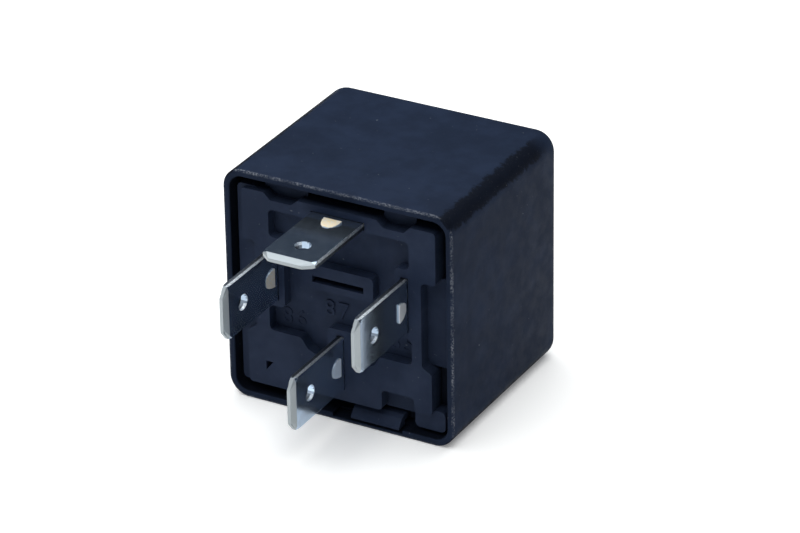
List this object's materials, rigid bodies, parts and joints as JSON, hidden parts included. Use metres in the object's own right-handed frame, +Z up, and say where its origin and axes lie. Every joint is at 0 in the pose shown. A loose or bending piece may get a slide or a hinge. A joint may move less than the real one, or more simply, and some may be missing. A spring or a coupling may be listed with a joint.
{
  "type": "plug in relay",
  "caption": "Cube-shaped plug in relay: black clip-on cover, moulded base with flat blade terminals, and a coil with a hinged armature that closes one contact.",
  "frame": {"origin": "middle of the box round the whole relay, at the height of the cover side it lies on", "axes": "+Z up through the cover's upper side, blades along -Y, cover's closed end at +Y, +X to the right of someone facing +Y"},
  "size_m": [0.028, 0.0354, 0.0278],
  "materials": {
    "cover_plastic": "black moulded plastic with a faint blue cast, fine grain",
    "base_plastic": "black moulded plastic, satin",
    "blade_tin": "tin-plated brass, semi-bright",
    "contact_silver": "silver alloy",
    "plated_steel": "nickel-plated iron",
    "rivet_steel": "plated steel, turned",
    "spring_bronze": "copper alloy leaf",
    "bobbin_nylon": "natural nylon",
    "enamelled_wire": "enamelled copper wire"
  },
  "bodies": {
    "base": {"base_plate": "base_plastic", "terminal_30": "blade_tin", "terminal_85": "blade_tin", "terminal_86": "blade_tin", "terminal_87": "blade_tin", "terminal_rivet": "rivet_steel", "fixed_contact": "contact_silver", "rest_stop": "plated_steel", "yoke": "plated_steel", "core": "plated_steel", "bobbin": "bobbin_nylon", "coil_winding": "enamelled_wire", "coil_lead_85": "enamelled_wire", "coil_lead_86": "enamelled_wire", "yoke_rivet_left": "rivet_steel", "yoke_rivet_right": "rivet_steel"},
    "armature": {"armature": "plated_steel", "armature_rivet_left": "rivet_steel", "armature_rivet_right": "rivet_steel", "moving_contact": "contact_silver", "contact_spring": "spring_bronze"},
    "cover": {"cover": "cover_plastic"}
  },
  "joints": [
    {"name": "armature_hinge", "type": "hinge", "parent": "base", "child": "armature", "pos_m": [0, 0.0119, 0.003], "axis": [1, 0, 0], "range_deg": [0, 3.2], "stiffness_Nm_per_rad": 0.05, "springref_deg": -6.88, "deforming": ["contact_spring"]},
    {"name": "cover_pull", "type": "slide", "parent": "base", "child": "cover", "axis": [0, 1, 0], "range_m": [0, 0.03]}
  ]
}
